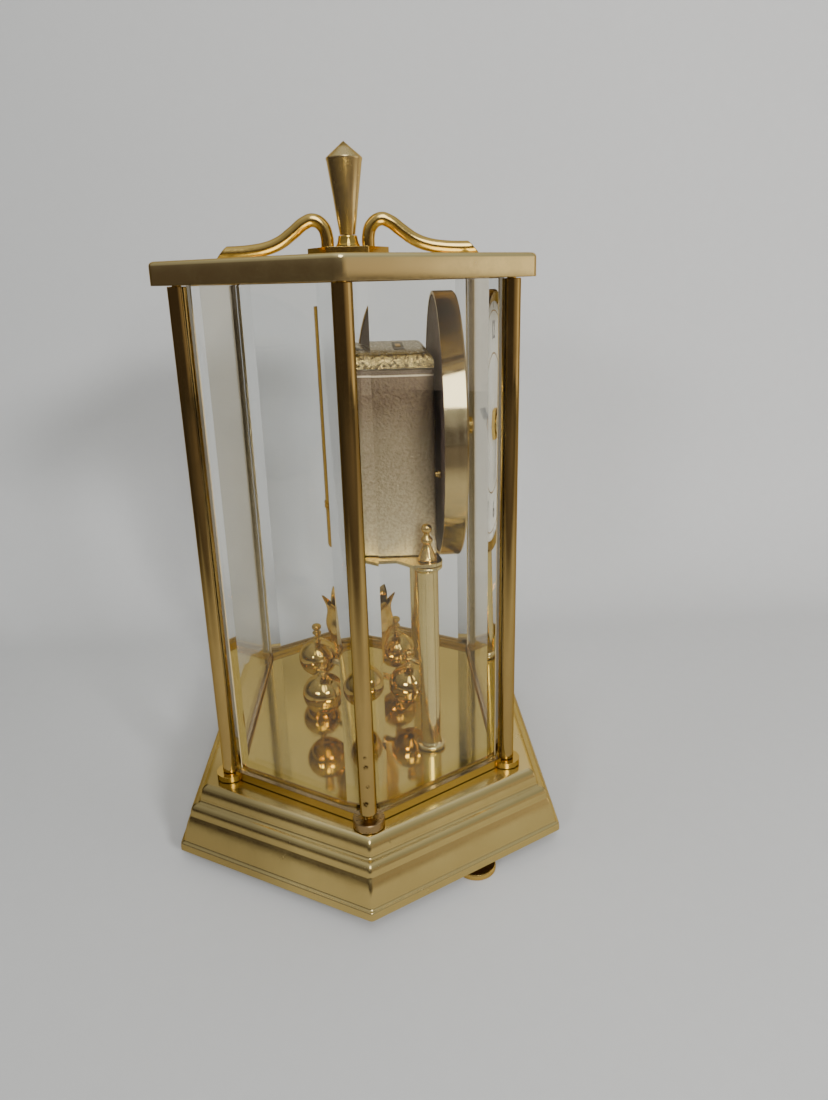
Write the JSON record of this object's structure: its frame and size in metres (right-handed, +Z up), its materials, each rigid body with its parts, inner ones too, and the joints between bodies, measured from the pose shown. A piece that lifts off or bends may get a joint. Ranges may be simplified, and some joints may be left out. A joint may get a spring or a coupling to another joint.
{
  "type": "anniversary clock",
  "caption": "Torsion-pendulum anniversary clock on a stepped brass base, under a lift-off six-sided bevelled glass case with a finial and swan-neck handles.",
  "frame": {"origin": "middle of the surface that the levelling feet stand on, under the middle of the case", "axes": "+Z up, the dial faces -Y, the long corners of the case and base point along X"},
  "size_m": [0.2066, 0.1432, 0.252],
  "materials": {
    "polished_brass": "polished brass plate, slightly dulled",
    "warm_brass": "polished brass, warmer tone",
    "dark_brass": "aged brass, darkened and spotted",
    "brushed_brass": "satin brass sheet",
    "steel": "plain steel",
    "clear_glass": "clear plate glass with ground sloping edges",
    "grained_gold": "fine pebble grain, pale gold",
    "grey_enamel": "pale grey-gold plastic",
    "dark_enamel": "dark brown lacquer, satin",
    "white_enamel": "off-white lacquer, satin",
    "black_enamel": "black lacquer, semi-gloss",
    "battery_wrap": "plain dark sleeve"
  },
  "bodies": {
    "base": {"base_moulding": "polished_brass", "column_left": "polished_brass", "column_right": "polished_brass", "movement_platform": "polished_brass", "centre_bush": "polished_brass", "bezel": "polished_brass", "column_nut_left": "warm_brass", "column_nut_right": "warm_brass", "dial_nut": "warm_brass", "suspension_guard": "warm_brass", "floor_plate": "brushed_brass", "base_nut_left": "steel", "base_nut_right": "steel", "suspension_bracket": "steel", "suspension_spring": "steel", "movement_housing": "grained_gold", "bottom_plate": "dark_enamel", "dial_back": "dark_enamel", "dial_face": "white_enamel", "battery": "battery_wrap"},
    "case": {"case_ring": "warm_brass", "upper_frame": "dark_brass", "cap": "polished_brass", "hub_plate": "warm_brass", "hub_collar": "polished_brass", "finial": "warm_brass", "handle_front": "warm_brass", "handle_rear": "warm_brass", "post_left_corner": "dark_brass", "post_right_corner": "dark_brass", "post_front_left": "dark_brass", "post_front_right": "dark_brass", "post_rear_left": "dark_brass", "post_rear_right": "dark_brass", "tie_rod_left_corner": "steel", "tie_rod_right_corner": "steel", "tie_rod_front_left": "steel", "tie_rod_front_right": "steel", "tie_rod_rear_left": "steel", "tie_rod_rear_right": "steel", "glass_right_rear": "clear_glass", "glass_rear": "clear_glass", "glass_left_rear": "clear_glass", "glass_left_front": "clear_glass", "glass_front": "clear_glass", "glass_right_front": "clear_glass"},
    "pendulum": {"pendulum_arms": "polished_brass", "pendulum_crown": "warm_brass", "pendulum_spindle": "warm_brass", "pendulum_ball_1": "polished_brass", "pendulum_ball_2": "polished_brass", "pendulum_ball_3": "polished_brass", "pendulum_ball_4": "polished_brass"},
    "minute_hand": {"minute_hand": "black_enamel", "hand_nut": "warm_brass"},
    "hour_hand": {"hour_hand": "black_enamel"},
    "battery_cover": {"battery_cover": "grey_enamel"},
    "levelling_foot_left": {"levelling_foot_left": "dark_brass"},
    "levelling_foot_right": {"levelling_foot_right": "dark_brass"},
    "levelling_foot_rear": {"levelling_foot_rear": "dark_brass"}
  },
  "joints": [
    {"name": "case_lift", "type": "slide", "parent": "base", "child": "case", "axis": [0, 0, 1], "range_m": [0, 0.19]},
    {"name": "pendulum_turn", "type": "hinge", "parent": "base", "child": "pendulum", "pos_m": [0, 0.0026, 0.0457], "axis": [0, 0, 1], "range_deg": [-150, 150], "stiffness_Nm_per_rad": 0.0000096},
    {"name": "minute_hand_turn", "type": "hinge", "parent": "base", "child": "minute_hand", "pos_m": [0, -0.0434, 0.1503], "axis": [0, 1, 0], "continuous": true},
    {"name": "hour_hand_turn", "type": "hinge", "parent": "base", "child": "hour_hand", "pos_m": [0, -0.0406, 0.1503], "axis": [0, 1, 0], "continuous": true},
    {"name": "battery_cover_lift", "type": "slide", "parent": "base", "child": "battery_cover", "axis": [0, 0, 1], "range_m": [0, 0.015]},
    {"name": "foot_left_turn", "type": "hinge", "parent": "base", "child": "levelling_foot_left", "pos_m": [-0.07406, -0.0378, 0.0013], "axis": [0, 0, 1], "continuous": true},
    {"name": "foot_right_turn", "type": "hinge", "parent": "base", "child": "levelling_foot_right", "pos_m": [0.07406, -0.0378, 0.0013], "axis": [0, 0, 1], "continuous": true},
    {"name": "foot_rear_turn", "type": "hinge", "parent": "base", "child": "levelling_foot_rear", "pos_m": [0, 0.056, 0.0013], "axis": [0, 0, 1], "continuous": true}
  ],
  "couplings": [
    {"joint": "hour_hand_turn", "follows": "minute_hand_turn", "ratio": 0.083333}
  ]
}
